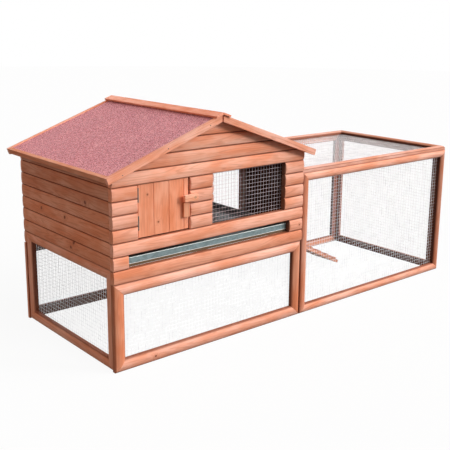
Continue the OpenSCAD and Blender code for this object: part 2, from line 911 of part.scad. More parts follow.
front_frame();
front_frame_mesh();
left_frame();
left_frame_mesh();
rear_frame();
rear_frame_mesh();
right_head_rail();
floor_bearers();
floor_panel();
front_log_bottom();
front_logs_slot();
front_log_sill();
front_logs_left();
front_logs_middle();
front_logs_right();
front_battens();
front_gable_logs();
left_wall_logs();
right_wall_logs_front();
right_wall_logs_rear();
right_wall_logs_top();
doorway_battens();
rear_wall_logs();
rear_gable_logs();
corner_battens();
roof_board_left();
roof_board_right();
felt_left();
felt_right();
eave_trims();
front_gable_trims();
rear_gable_trims();
ridge_cap();
window_mesh();
door_boards();
door_ledges();
door_pull();
door_hinges_moving();
door_hinges_fixed();
turn_button();
turn_screw();
tray();
run_front_frame();
run_front_mesh();
run_back_frame();
run_back_mesh();
run_end_frame();
run_end_mesh();
lid_frame();
lid_mesh();
lid_hinges_moving();
lid_hinges_fixed();
ramp_board();
ramp_cleats();
ramp_hinges_moving();
ramp_hinges_fixed();
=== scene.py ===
import math
from functools import partialmethod

import bpy
import numpy as np
from bpy.props import FloatProperty, FloatVectorProperty, IntProperty, PointerProperty
from mathutils import Matrix, Vector


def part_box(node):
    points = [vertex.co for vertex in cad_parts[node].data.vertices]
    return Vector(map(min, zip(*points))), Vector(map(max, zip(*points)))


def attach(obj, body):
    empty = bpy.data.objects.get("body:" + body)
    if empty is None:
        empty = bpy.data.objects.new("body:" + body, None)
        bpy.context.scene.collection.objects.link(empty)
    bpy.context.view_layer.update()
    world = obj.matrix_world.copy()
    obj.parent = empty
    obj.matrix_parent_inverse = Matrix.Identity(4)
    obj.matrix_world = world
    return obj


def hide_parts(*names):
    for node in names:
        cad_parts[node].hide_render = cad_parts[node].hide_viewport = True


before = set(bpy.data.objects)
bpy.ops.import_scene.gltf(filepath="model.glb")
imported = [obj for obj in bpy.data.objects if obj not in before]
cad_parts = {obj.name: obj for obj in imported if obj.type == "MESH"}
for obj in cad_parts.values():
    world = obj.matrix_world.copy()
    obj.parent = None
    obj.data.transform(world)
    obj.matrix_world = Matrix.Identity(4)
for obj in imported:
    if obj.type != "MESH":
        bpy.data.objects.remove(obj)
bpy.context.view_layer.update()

bl_info = {
    "name": "Outdoor rabbit run",
    "version": (1, 0, 0),
    "blender": (4, 5, 0),
    "location": "3D View > Sidebar > Rabbit Run",
    "description": "Finishes and fine pieces of a stained fir rabbit house with its wire run",
    "category": "Object",
}

PHOTO_SIDE = 450


# ---- Sizes read from the frame ----

def corners(node):
    """A node's lowest and highest corner as two arrays."""
    lo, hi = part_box(node)
    return np.array(lo), np.array(hi)


def pitch_of(node):
    """The angle at which a sheet slopes, from the height and the length of its box."""
    lo, hi = corners(node)
    return math.atan2(hi[2] - lo[2], hi[0] - lo[0])


def falling(pitch):
    """The way down a slope that falls to the right by the pitch, and the way square to it."""
    return (math.cos(pitch), 0.0, -math.sin(pitch)), (math.sin(pitch), 0.0, math.cos(pitch))


HOUSE_LO, HOUSE_HI = corners("front_frame")
HOUSE_MID = (HOUSE_LO[0] + HOUSE_HI[0]) / 2
SEAM_ZERO = corners("front_log_bottom")[0][2]
LOG_PITCH = corners("front_logs_slot")[0][2] - SEAM_ZERO
ROOF_PITCH = pitch_of("felt_right")
RAMP_ALONG, RAMP_SQUARE = falling(pitch_of("ramp_board"))
X, Y, Z = (1.0, 0.0, 0.0), (0.0, 1.0, 0.0), (0.0, 0.0, 1.0)
WHITE = (1.0, 1.0, 1.0)

# Widths of the frames' mouldings and of the door's narrow board beside the latch
STOREY_MOULDING = 0.036
LEFT_MOULDING = 0.032
RUN_MOULDING = 0.029
LATCH_BOARD = 0.017

# How far in from their left ends the shaded sides of the rear frame and the front logs begin
REAR_CORNER = 0.02
LOG_CORNER = 0.005

# Pitches at which the boards of a set are counted, so that each has a number of its own
BATTEN_PITCH = 0.09
BEARER_PITCH = 0.4
LEDGE_PITCH = 0.06
CLEAT_PITCH = 0.049


# ---- What a user would change ----

def setting(kind, **fixed):
    """A maker of properties of one kind. It takes each one's name, description and default, and
    what else differs from the rest of its kind."""
    def make(name, description, default, **own):
        return kind(name=name, description=description, default=default, **{**fixed, **own})
    return make


colour = setting(FloatVectorProperty, subtype="COLOR", size=3, min=0, max=1)
length = setting(FloatProperty, unit="LENGTH", subtype="DISTANCE", precision=4, min=0, max=1)
share = setting(FloatProperty, subtype="FACTOR", min=0, max=1)
angle = setting(FloatProperty, unit="ROTATION", subtype="ANGLE", min=-math.pi, max=math.pi)
number = setting(FloatProperty, min=0, max=20)
whole = setting(IntProperty)
vector = setting(FloatVectorProperty, subtype="XYZ", size=3)


class FirFinish(bpy.types.PropertyGroup):
    """Stained fir of the frames, logs, trims and door"""
    stain: colour("Stain", "Colour of the stained wood", (0.78, 0.285, 0.155))
    pale: colour("Pale stain", "Stain on the early wood and on rubbed places", (0.92, 0.47, 0.34))
    dark: colour("Dark stain", "Stain in the late wood and in the seams", (0.48, 0.13, 0.06))
    knot: colour("Knot", "Colour of the branch knots", (0.26, 0.085, 0.04))
    contrast: share("Grain contrast", "How strongly the growth lines show", 0.42, max=2)
    knots: share("Knots", "Share of the possible knots that show", 0.3)
    # The edge wear is partly real wear and partly painted highlight: its pale stain on the edges
    # also stands for edges that catch the light
    wear: share("Edge wear", "How far the stain is rubbed off the edges", 0.45)
    # Shaded sides, shaded front and shaded room are painted shade: each darkens the colour of
    # faces that look away from the lamps, on inner sides, on the frame under the front wall and
    # inside the house
    shaded: share("Shaded sides", "How much darker the stain is on inner sides", 0.75)
    shaded_front: share("Shaded front", "The same on the frame under the front wall", 0.375)
    shaded_room: share("Shaded room", "How much darker the stain is inside the house", 0.88)
    edge: length("Edge rounding", "Radius to which the sawn edges look sanded", 0.0012, max=0.005)


class PanelFinish(bpy.types.PropertyGroup):
    """Untreated plywood of the floor and under the felt"""
    pale: colour("Pale", "Early wood", (0.55, 0.36, 0.2))
    stain: colour("Middle", "Middle colour", (0.46, 0.28, 0.15))
    dark: colour("Dark", "Late wood", (0.26, 0.14, 0.07))
    # The floor panel's colour is scaled down by this share as painted shade, for the panel in the
    # shaded room
    soaked: share("Soaked", "What the damp leaves of the floor panel's colour", 0.3)


class FeltFinish(bpy.types.PropertyGroup):
    """Mineral felt of the roof"""
    bed: colour("Bed", "Colour of the bitumen-bound grains", (0.67, 0.185, 0.205))
    light: colour("Light grains", "Colour of the light grains", (0.93, 0.50, 0.54))
    dark: colour("Dark grains", "Colour of the dark grains", (0.36, 0.085, 0.115))
    grain: length("Grain", "Size of one mineral grain", 0.0016, min=0.0005, max=0.01)


class ZincFinish(bpy.types.PropertyGroup):
    """Zinc coating of the tray, the wires and the hinges"""
    tray: colour("Tray", "Colour of the tray's sheet", (0.162, 0.215, 0.222))
    # Rim and foot are painted highlights on the tray's pressed lips
    rim: colour("Rim", "Colour of the tray's rubbed upper edge", (0.75, 0.80, 0.76))
    foot: colour("Foot", "Colour of the tray's rubbed lower edge", (0.80, 0.66, 0.56))
    wire: colour("Wire", "Colour of the drawn wire", (0.88, 0.88, 0.90))
    # The far wire and the window wire are darker copies of the wire: painted shade for nets that
    # lie in shade
    far_wire: colour("Far wire", "Colour of the wire at the run's back", (0.76, 0.71, 0.72))
    window_wire: colour("Window wire", "Colour of the window's duller wire", (0.76, 0.63, 0.65))
    hinge: colour("Hinge", "Colour of the hinges", (0.15, 0.13, 0.11))
    screw: colour("Screw", "Colour of the turn button's screw", (0.58, 0.27, 0.15))


class NailHeads(bpy.types.PropertyGroup):
    """Nail heads on the front gable trim"""
    nail: colour("Nail", "Colour of the nail heads", (0.10, 0.085, 0.065))
    radius: length("Radius", "Radius of a nail head", 0.0019, min=0.0005, max=0.005)
    height: length("Height", "How far a nail head stands out", 0.0005, min=0.0001, max=0.002)
    sides: whole("Sides", "Faces round a nail head", 10, min=6, max=32)


class WireNets(bpy.types.PropertyGroup):
    """Welded wire nets"""
    pitch: length("Pitch", "Distance between two wires", 0.0127, min=0.005, max=0.05)
    wire: length("Wire", "Thickness of a wire", 0.00075, min=0.0004, max=0.002)
    wander: length("Wander", "How far a wire strays from its line", 0.0003, max=0.002)
    sides: whole("Sides", "Faces round a wire", 6, min=4, max=12)
    steps: whole("Steps", "Rings along a wire", 14, min=2, max=40)


class Studio(bpy.types.PropertyGroup):
    """Floor, lamps and camera"""
    floor: colour("Floor", "Colour of the floor", (0.11, 0.11, 0.11))
    floor_glow: share("Floor white", "How much of the floor's white needs no light", 0.93)
    sky: share("Sky", "Strength of the light from all round", 0.045, max=2)
    place: vector("Camera", "Where the camera stands", (-1.86889, -2.1005, 1.0206),
                  unit="LENGTH", subtype="TRANSLATION")
    yaw: angle("Yaw", "Turn of the camera from the line square to the front", math.radians(40.68))
    pitch: angle("Pitch", "How far the camera looks down", math.radians(13.39))
    roll: angle("Roll", "Tilt of the camera about its line of sight", math.radians(0.69))
    focus: number("Focal length", "Focal length in photograph pixels", 774.5, min=100, max=5000)
    centre: vector("Centre", "Pixel that the line of sight meets", (237.8, 202.1), size=2,
                   subtype="NONE")


# The lamps: what each gives, its strength, its colour, the angle over which it is spread in
# degrees, and where it comes from
LAMPS = {
    "main": ("soft light from the front right", 1.85, WHITE, 16.0, (0.68, -0.73, 0.40)),
    "fill": ("broad light from the left", 0.8, (1.0, 0.80, 0.66), 10.0, (-1.0, -0.12, 0.5)),
    "front": ("low light from the front", 0.22, WHITE, 30.0, (0.3, -1.0, 0.08)),
    "back": ("light from behind", 0.6, WHITE, 30.0, (0.4, 1.0, 0.35)),
    "top": ("wide light from above", 2.4, WHITE, 60.0, (0.45, -0.68, 1.0))}


def lamp_settings():
    """The properties of every lamp: its strength, colour, spread and direction."""
    made = {}
    for lamp, (what, strength, tint, spread, source) in LAMPS.items():
        title = lamp.capitalize() + " light"
        made[lamp] = number(title, "Strength of the " + what, strength)
        made[lamp + "_colour"] = colour(title + " colour", "Colour of the " + what, tint)
        made[lamp + "_spread"] = angle(title + " spread", "Angle over which it is spread",
                                       math.radians(spread))
        made[lamp + "_from"] = vector(title + " from", "Where the light comes from", source)
    return made


Studio.__annotations__.update(lamp_settings())


# ---- Surfaces ----

def new_piece(name, points, faces, finish, smooth):
    """Links a mesh of points and faces, which already lie in their place, to the scene."""
    mesh = bpy.data.meshes.new(name)
    mesh.from_pydata(points.reshape(-1, 3).tolist(), [], faces)
    mesh.validate()
    mesh.polygons.foreach_set("use_smooth", np.full(len(mesh.polygons), smooth))
    mesh.materials.append(finish)
    mesh.update()
    piece = bpy.data.objects.new(name, mesh)
    bpy.context.scene.collection.objects.link(piece)
    return piece


def fixed_piece(name, surface, body, finish):
    """A smooth piece that rides on a body and takes the finish it is given."""
    piece = new_piece(name, *surface, finish, True)
    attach(piece, body)
    return piece


def carried_rings(centres, across, up, radius, sides):
    """Round wires as one surface of two parameters. Along each wire the centre line is given;
    round it, point j is the centre plus radius times the cosine of the angle 2 pi j / sides
    along across, plus radius times its sine along up. Both ends are closed by a flat face."""
    count, rings = centres.shape[:2]
    turn = 2 * math.pi * np.arange(sides) / sides
    outline = radius * (np.cos(turn)[:, None] * across + np.sin(turn)[:, None] * up)
    points = centres[:, :, None, :] + outline[None, None]
    index = np.arange(count * rings * sides).reshape(count, rings, sides)
    here, beyond = index[:, :-1], index[:, 1:]
    quads = np.stack([here, np.roll(here, -1, 2), np.roll(beyond, -1, 2), beyond], -1)
    ends = np.concatenate([index[:, 0, ::-1], index[:, -1]])
    return points, quads.reshape(-1, 4).tolist() + ends.tolist()


def straight_wires(lo, hi, run, step, depth, place, count, wires, seed):
    """Centre lines of the wires that run along one axis. The lines lie evenly from low to high
    along the step axis, and each strays from its line by wander times the sum of two slow sine
    waves whose phases are fixed numbers for each wire."""
    r = wires.wire / 2
    t = np.linspace(0, 1, wires.steps + 1)
    lines = np.linspace(lo[step] + r, hi[step] - r, count)
    centres = np.empty((count, len(t), 3))
    phase = np.random.default_rng(seed).uniform(0, 2 * math.pi, (count, 2, 1))
    slow, quick = np.sin(2 * math.pi * t + phase[:, 0]), np.sin(6 * math.pi * t + phase[:, 1])
    stray = 0.6 * slow + 0.4 * quick
    edge = np.sin(math.pi * np.linspace(0, 1, count))[:, None] ** 0.3
    centres[..., run] = lo[run] + (hi[run] - lo[run]) * t
    centres[..., step] = lines[:, None] + wires.wander * stray * edge
    centres[..., depth] = place
    return centres


def net_surface(node, wires):
    """Welded net in the box of a CAD net: two layers of straight round wires, the second laid
    against the first and a little sunk into it where the welds are."""
    lo, hi = corners(node)
    depth = int(np.argmin(hi - lo))
    first, second = [axis for axis in range(3) if axis != depth]
    r = wires.wire / 2
    middle = (lo[depth] + hi[depth]) / 2
    sunk = 0.88 * r
    before = depth != 2 and middle < (HOUSE_LO[depth] + HOUSE_HI[depth]) / 2
    outward = -1 if before else 1
    parts = []
    for run, step, side, seed in ((second, first, outward, 11), (first, second, -outward, 23)):
        count = int(round((hi[step] - lo[step]) / wires.pitch)) + 1
        centres = straight_wires(lo, hi, run, step, depth, middle + side * sunk, count, wires,
                                 seed + len(node))
        along, across = np.eye(3)[[run, step]]
        parts.append(carried_rings(centres, across, np.cross(along, across), r, wires.sides))
    points = np.concatenate([p.reshape(-1, 3) for p, _ in parts])
    shift = parts[0][0].size // 3
    return points, parts[0][1] + [[i + shift for i in face] for face in parts[1][1]]


def nail_surface(places, nails):
    """Nail heads as one profile turned about a level axis each. At the angle a from the pole to
    the rim the profile's radius is the head's radius times the sine of a, and it stands out by
    the height times the cosine of a; it then runs straight into the wood and is closed flat."""
    a = np.linspace(0, math.pi / 2, 4)[1:]
    radii = np.append(nails.radius * np.sin(a), nails.radius)
    depth = np.append(-nails.height * np.cos(a), 2 * nails.height)
    turn = 2 * math.pi * np.arange(nails.sides) / nails.sides
    rings = np.stack([radii[:, None] * np.cos(turn), depth[:, None] + 0 * turn,
                      radii[:, None] * np.sin(turn)], -1).reshape(-1, 3)
    one = np.concatenate([[(0.0, -nails.height, 0.0)], rings])
    index = 1 + np.arange(len(radii) * nails.sides).reshape(len(radii), nails.sides)
    inner, outer = index[:-1], index[1:]
    quads = np.stack([inner, outer, np.roll(outer, -1, 1), np.roll(inner, -1, 1)], -1)
    pole = np.stack([0 * index[0], index[0], np.roll(index[0], -1)], -1)
    faces = quads.reshape(-1, 4).tolist() + pole.tolist() + [index[-1, ::-1].tolist()]
    points = np.array(places)[:, None, :] + one[None]
    return points, [[i + n * len(one) for i in face] for n in range(len(places)) for face in faces]


# ---- Shader building ----

def label(key):
    """A name in plain words for what the code calls by a key."""
    return key.replace("_", " ").capitalize()


class Board:
    """Places nodes on a node tree and wires them."""

    def __init__(self, tree):
        self.tree = tree
        self.count = 0

    def node(self, kind, values=None, **settings):
        node = self.tree.nodes.new(kind)
        node.location = (220 * (self.count % 12), -260 * (self.count // 12))
        self.count += 1
        for key, value in settings.items():
            setattr(node, key, value)
        for key, value in (values or {}).items():
            self.feed(node.inputs[key], value)
        return node

    def feed(self, socket, value):
        if isinstance(value, bpy.types.NodeSocket):
            self.tree.links.new(value, socket)
        elif socket.type == "RGBA" and len(value) == 3:
            socket.default_value = (*value, 1.0)
        else:
            socket.default_value = value

    def math(self, operation, *values, clamp=False):
        return self.node("ShaderNodeMath", dict(enumerate(values)), operation=operation,
                         use_clamp=clamp).outputs[0]

    times = partialmethod(math, "MULTIPLY")

    def weigh(self, start, *terms):
        """The start plus each value times its weight."""
        for value, weight in terms:
            start = self.math("MULTIPLY_ADD", value, weight, start)
        return start

    def rest(self, share_):
        """What is left of the whole once a share is taken off."""
        return self.math("SUBTRACT", 1.0, share_)

    def vector(self, operation, *values, scale=None):
        node = self.node("ShaderNodeVectorMath", dict(enumerate(values)), operation=operation)
        if scale is not None:
            self.feed(node.inputs["Scale"], scale)
        return node.outputs["Value" if operation in ("DOT_PRODUCT", "LENGTH") else "Vector"]

    dot = partialmethod(vector, "DOT_PRODUCT")

    def scaled(self, vector, scale):
        return self.vector("SCALE", vector, scale=scale)

    def ramp(self, value, low, high):
        """0 below low, 1 above high, and smooth between."""
        return self.node("ShaderNodeMapRange", {"Value": value, "From Min": low, "From Max": high},
                         interpolation_type="SMOOTHSTEP").outputs[0]

    def choose(self, share_, first, second):
        """The first vector at 0 and the second at 1."""
        return self.node("ShaderNodeMix", {0: share_, 4: first, 5: second},
                         data_type="VECTOR").outputs[1]

    def layers(self, colour_, *coats):
        """Coats of colour laid over a first one, each by its own share."""
        for share_, coat in coats:
            colour_ = self.node("ShaderNodeMix", {0: share_, 6: colour_, 7: coat},
                                data_type="RGBA").outputs[2]
        return colour_

    def noise(self, place, scale, detail=2.0, roughness=0.5, distortion=0.0, give="Fac"):
        return self.node("ShaderNodeTexNoise", {
            "Vector": place, "Scale": scale, "Detail": detail, "Roughness": roughness,
            "Distortion": distortion}).outputs[give]

    def cells(self, place, scale):
        """For each point the distance to the nearest seed, and three numbers of its cell."""
        cell = self.node("ShaderNodeTexVoronoi", {"Vector": place, "Scale": scale}).outputs
        return cell["Distance"], self.split(cell["Color"])

    def split(self, vector):
        return self.node("ShaderNodeSeparateXYZ", {0: vector}).outputs

    def facing(self):
        """The way that a point's own face looks."""
        return self.node("ShaderNodeNewGeometry").outputs["Normal"]

    def group(self, name, **values):
        node = self.node("ShaderNodeGroup", node_tree=bpy.data.node_groups[name])
        for key, value in values.items():
            self.feed(node.inputs[label(key)], value)
        return node.outputs


# The Math node's operations, such as board.divide(first, second)
for operation in ("ADD", "SUBTRACT", "DIVIDE", "MINIMUM", "MAXIMUM", "ABSOLUTE", "FLOOR",
                  "FRACT", "SINE", "EXPONENT", "LESS_THAN", "GREATER_THAN"):
    setattr(Board, operation.lower(), partialmethod(Board.math, operation))

# The kinds of a node group's sockets
VALUE, VECTOR, COLOUR = "NodeSocketFloat", "NodeSocketVector", "NodeSocketColor"
GROUP_MAKERS = []


def shader_group(**outputs):
    """Notes a function as the maker of the shader node group that is named after it. It takes a
    board and the group's inputs, each marked with its kind, and returns what each output gives
    out; outputs names these with their kinds."""
    def note(make):
        GROUP_MAKERS.append((make, outputs))
        return make
    return note


def build_groups():
    """Makes each shader node group once."""
    for make, outputs in GROUP_MAKERS:
        tree = bpy.data.node_groups.new(label(make.__name__), "ShaderNodeTree")
        for way, sockets in (("INPUT", make.__annotations__), ("OUTPUT", outputs)):
            for key, kind in sockets.items():
                tree.interface.new_socket(name=label(key), in_out=way, socket_type=kind)
        board = Board(tree)
        given = board.node("NodeGroupInput").outputs[:-1]
        board.node("NodeGroupOutput", make(board, *given))


@shader_group(Board=VALUE, Seam=VALUE)
def log_rows(board, height: VALUE, first_seam: VALUE, pitch: VALUE, wall: VALUE):
    """Which log board of a wall a point lies on: its height above the first seam over the row
    pitch. The whole part numbers the board, the rest tells how near the seams are."""
    row = board.divide(board.subtract(height, first_seam), pitch)
    off = board.absolute(board.subtract(board.fract(row), 0.49))
    return {"Board": board.add(board.floor(row), wall), "Seam": board.ramp(off, 0.42, 0.5)}


@shader_group(Along=VECTOR, Board=VALUE, Seam=VALUE, Stile=VALUE)
def frame_members(board, place: VECTOR, low: VECTOR, high: VECTOR, level: VECTOR, upright: VECTOR,
                  width: VALUE):
    """Which of a mitred frame's four mouldings a point lies on. The mitres lie where the point
    is as far from the end as from the side, so the nearer pair of edges names the moulding.
    Its seams are its two long edges, apart from the outer one's face along the frame's rim. On
    the inner half a seam also covers the side face, and there its darkening is painted shade."""
    from_low = board.vector("SUBTRACT", place, low)
    from_high = board.vector("SUBTRACT", high, place)
    near, side = [], []
    for way in (level, upright):
        ends = [board.dot(away, way) for away in (from_low, from_high)]
        near.append(board.minimum(*ends))
        side.append(board.less_than(*ends))
    stile = board.less_than(*near)
    moulding = board.node("ShaderNodeMix", {0: stile, 2: side[1], 3: board.add(side[0], 2.0)},
                          data_type="FLOAT").outputs[0]
    across = board.divide(board.minimum(*near), width)
    off = board.absolute(board.subtract(across, 0.5))
    square = board.dot(board.facing(), board.vector("CROSS_PRODUCT", level, upright))
    kept = board.maximum(board.ramp(board.absolute(square), 0.2, 0.5),
                         board.greater_than(across, 0.5))
    return {"Along": board.choose(stile, level, upright), "Board": moulding,
            "Seam": board.times(board.ramp(off, 0.34, 0.5), kept), "Stile": stile}


def bend_round(board, away):
    """How much a knot bends the grain: e to the power of -0.16 times the square of the distance
    in the knot's radii."""
    return board.exponent(board.times(board.times(away, away), -0.16))


@shader_group(Knot=VALUE, Swirl=VALUE)
def branch_knot(board, place: VECTOR, through: VECTOR, centre: VECTOR, radius: VALUE):
    """Knot through a board: how near the point is to a line through the centre, along through."""
    off = board.vector("SUBTRACT", place, centre)
    deep = board.scaled(through, board.dot(off, through))
    away = board.vector("LENGTH", board.vector("SUBTRACT", off, deep))
    part = board.divide(away, radius)
    return {"Knot": board.ramp(part, 1.15, 0.75), "Swirl": bend_round(board, part)}


@shader_group(Colour=COLOUR, Roughness=VALUE, Height=VALUE)
def fir_grain(board, place: VECTOR, along: VECTOR, through: VECTOR, stain: COLOUR, pale: COLOUR,
              dark: COLOUR, knot_colour: COLOUR, board_number: VALUE, seam: VALUE,
              contrast: VALUE, knots: VALUE, added_knot: VALUE, added_swirl: VALUE,
              rubbed: VALUE):
    """Stained softwood. Growth lines are the level lines of a noise that is stretched along the
    grain; knots bend them. Fibres are a finer noise, stretched further."""
    chance = board.node("ShaderNodeTexWhiteNoise", {"W": board_number},
                        noise_dimensions="1D").outputs["Color"]
    shift = board.scaled(chance, 3.0)
    pick = board.split(chance)
    run = board.dot(place, along)
    side = board.vector("SUBTRACT", place, board.scaled(along, run))

    def stretched(keep):
        kept = board.scaled(along, board.times(run, keep))
        return board.vector("ADD", board.vector("ADD", side, shift), kept)

    deep = board.scaled(through, board.dot(place, through))
    flat = board.vector("ADD", shift, board.vector("SUBTRACT", place, deep))
    distance, seat = board.cells(flat, 7.0)
    away = board.divide(distance, board.weigh(0.022, (seat[0], 0.03)))
    shown = board.less_than(seat[1], knots)
    knot = board.maximum(board.times(shown, board.ramp(away, 1.15, 0.7)), added_knot)
    swirl = board.maximum(board.times(shown, bend_round(board, away)), added_swirl)
    rings = board.weigh(board.noise(stretched(0.07), 26.0, distortion=0.2), (swirl, 0.17))
    lines = board.sine(board.times(rings, board.weigh(62.0, (pick[1], 40.0))))
    late = board.ramp(lines, 0.15, 1.0)
    fibre = board.noise(stretched(0.025), 900.0, 2.0, 0.6)
    streak = board.noise(stretched(0.04), 150.0, 3.0, 0.6)
    cloud = board.noise(stretched(0.35), 17.0, 3.0, 0.55)

    def strong(mask, part):
        return board.times(mask, board.times(contrast, part))

    # The pale coat on the rubbed edges is partly wear and partly painted highlight; the dark coat
    # on the seams is the dark joints, and on a frame's inner side faces it is painted shade
    wood = board.layers(
        stain, (board.ramp(cloud, 0.32, 0.7), pale),
        (strong(late, 0.55), dark),
        (strong(board.ramp(streak, 0.52, 0.78), 0.75), dark),
        (board.times(board.ramp(streak, 0.46, 0.22), 0.5), pale),
        (board.times(seam, 0.85), board.scaled(dark, 0.5)),
        (board.times(swirl, 0.35), dark), (knot, knot_colour),
        (rubbed, pale))
    return {"Colour": board.scaled(wood, board.weigh(0.9, (pick[2], 0.12), (fibre, 0.14))),
            "Roughness": board.weigh(0.5, (fibre, 0.16), (late, 0.08)),
            "Height": board.weigh(0.0, (fibre, 0.6), (streak, 0.35), (late, -0.35), (knot, -0.5))}


@shader_group(Edge=VALUE, Normal=VECTOR)
def worn_edge(board, radius: VALUE):
    """Sanded edges: a normal that is rounded over the edge radius, and a mask that grows as it
    turns away from the face's own normal."""
    rounded = board.node("ShaderNodeBevel", {"Radius": radius}, samples=4).outputs[0]
    turned = board.rest(board.dot(rounded, board.facing()))
    return {"Edge": board.ramp(turned, 0.02, 0.22), "Normal": rounded}


@shader_group(Left=VALUE)
def shaded_side(board, toward: VECTOR, taken: VALUE):
    """Painted shade on the sides of a member that look one way: the nearer a face's own normal is
    to that way, the more of the share is taken off its colour."""
    looks = board.ramp(board.dot(board.facing(), toward), 0.75, 0.97)
    return {"Left": board.rest(board.times(looks, taken))}


@shader_group(Colour=COLOUR, Roughness=VALUE, Height=VALUE)
def mineral_grains(board, place: VECTOR, bed: COLOUR, light: COLOUR, dark: COLOUR, grain: VALUE):
    """Mineral felt: cells of one grain each take a light, bed or dark colour, and a slower noise
    thins or thickens the light ones."""
    distance, pick = board.cells(place, board.divide(1.0, grain))
    patch = board.noise(place, 160.0, 3.0, 0.6)
    drift = board.noise(place, 9.0, 3.0)
    score = board.weigh(pick[0], (board.subtract(patch, 0.5), 1.1))
    grains = board.layers(
        bed, (board.ramp(score, 0.55, 0.72), light),
        (board.ramp(score, 0.34, 0.2), dark),
        (board.times(pick[1], 0.18), light))
    return {"Colour": board.scaled(grains, board.weigh(0.9, (drift, 0.2))),
            "Roughness": board.weigh(0.72, (pick[2], 0.2)),
            "Height": board.subtract(pick[1], distance)}


@shader_group(Colour=COLOUR, Roughness=VALUE, Height=VALUE)
def zinc_coat(board, place: VECTOR, zinc: COLOUR, crystal: VALUE, dullness: VALUE):
    """Hot-dipped zinc: crystals of one cell each, a little lighter or darker, with faint rolling
    streaks and dull patches."""
    bend = board.scaled(board.noise(place, 60.0, give="Color"), 0.006)
    bent = board.vector("ADD", place, bend)
    _, pick = board.cells(bent, board.divide(1.0, crystal))
    dull = board.noise(place, 24.0, 3.0, 0.6)
    rolled = board.noise(board.vector("MULTIPLY", place, (3.0, 60.0, 300.0)), 3.0)
    tone = board.weigh(0.68, (pick[0], 0.36), (dull, 0.3), (rolled, 0.08))
    return {"Colour": board.scaled(zinc, tone),
            "Roughness": board.weigh(dullness, (pick[1], 0.12), (dull, 0.14)),
            "Height": board.weigh(rolled, (pick[2], 0.3))}


# ---- Materials ----

def clear_board(owner):
    """An empty board for the nodes of a material or a world."""
    owner.use_nodes = True
    owner.node_tree.nodes.clear()
    return Board(owner.node_tree)


def new_finish(name):
    """A material with a board for its nodes, its Principled BSDF and the object coordinates."""
    finish = bpy.data.materials.new(name)
    board = clear_board(finish)
    shader = board.node("ShaderNodeBsdfPrincipled")
    board.node("ShaderNodeOutputMaterial", {0: shader.outputs[0]})
    place = board.node("ShaderNodeTexCoord").outputs["Object"]
    return finish, board, shader.inputs, place


def coat_shader(board, shader, colour_, surface, bump, depth, gloss, **normal):
    """Wires a colour and a surface's roughness and height into the shader."""
    board.feed(shader["Base Color"], colour_)
    board.feed(shader["Roughness"], surface["Roughness"])
    board.feed(shader["Normal"], board.node("ShaderNodeBump", {
        "Strength": bump, "Distance": depth, "Height": surface["Height"], **normal}).outputs[0])
    shader["Specular IOR Level"].default_value = gloss


# Number of each node's first board. It picks the board's grain, its knots and its shade; the
# boards of a log wall and of a frame count on from it.
FIRST_BOARD = {
    "front_frame": 3, "floor_panel": 5, "roof_boards": 7, "rear_frame": 11,
    "left_frame": 17, "right_head_rail": 23, "run_front_frame": 31,
    "run_back_frame": 37, "run_end_frame": 43, "eave_trims": 61,
    "front_gable_trims": 64, "rear_gable_trims": 67, "ridge_cap": 71, "door_pull": 83,
    "turn_button": 85, "lid_frame": 91, "ramp_board": 97, "front_log_bottom": 50,
    "front_logs_slot": 70, "front_log_sill": 90, "front_logs_left": 110,
    "front_logs_middle": 132, "front_logs_right": 150, "front_gable_logs": 170,
    "left_wall_logs": 201, "right_wall_logs_front": 231, "right_wall_logs_rear": 251,
    "right_wall_logs_top": 271, "rear_wall_logs": 301, "rear_gable_logs": 321}


def lie(along, through, board_number, seam=0.0):
    """How a point's board lies, which every layout tells: the way its grain runs, the way
    through it, its number, and how near the point is to a seam between two boards."""
    return {"along": along, "through": through, "board_number": board_number, "seam": seam}


def plain_layout(along, through):
    """One board, or boards that may share their grain."""
    return lambda board, place, node: lie(along, through, FIRST_BOARD[node])


def set_out_layout(along, through, axis, pitch, start=0.0):
    """Boards that all run one way and lie side by side: the place along axis over the pitch,
    counted from start, numbers the board."""
    def layout(board, place, node):
        from_start = board.subtract(board.split(place)[axis], start)
        return lie(along, through, board.floor(board.divide(from_start, pitch)))
    return layout


def log_layout(along, through):
    """The log boards of a wall, numbered by their rows."""
    def layout(board, place, node):
        rows = board.group("Log rows", height=board.split(place)["Z"], first_seam=SEAM_ZERO,
                           pitch=LOG_PITCH, wall=FIRST_BOARD[node])
        return lie(along, through, rows["Board"], rows["Seam"])
    return layout


def frame_layout(level, upright, width):
    """The four mouldings of a mitred frame, whose rails run level and whose stiles upright."""
    def layout(board, place, node):
        lo, hi = corners(node)
        members = board.group("Frame members", place=place, low=lo, high=hi, level=level,
                              upright=upright, width=width)
        board_number = board.add(members["Board"], FIRST_BOARD[node])
        where = lie(members["Along"], np.cross(level, upright), board_number, members["Seam"])
        return {**where, "stile": members["Stile"]}
    return layout


def slope_layout(along_y):
    """Boards on the two roof slopes: the side of the ridge numbers the board and turns its
    grain, which runs down the slope unless the board runs along the ridge."""
    def layout(board, place, node):
        right = board.greater_than(board.split(place)["X"], HOUSE_MID)
        down, square = (board.choose(right, *ways)
                        for ways in zip(falling(-ROOF_PITCH), falling(ROOF_PITCH)))
        return lie(Y if along_y else down, square if along_y else Y,
                   board.add(right, FIRST_BOARD[node]))
    return layout


# Knots that the photograph shows: their centres in the frame's own coordinates and their radii
KNOTS = {
    "front_frame": [((-0.632, -0.288, 0.018), 0.0035)],
    "front_logs_slot": [((-0.032, -0.289, 0.332), 0.003)],
    "left_wall_logs": [((-0.772, -0.1395, 0.490), 0.006), ((-0.772, -0.0115, 0.419), 0.005),
                       ((-0.772, 0.1425, 0.419), 0.005), ((-0.772, -0.0585, 0.349), 0.006),
                       ((-0.772, -0.0435, 0.331), 0.005)],
    "door_boards": [((-0.649, -0.281, 0.522), 0.003), ((-0.612, -0.281, 0.435), 0.003)]}


def dress(node, finish):
    """Gives a CAD node its finish."""
    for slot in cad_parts[node].material_slots:
        slot.material = finish


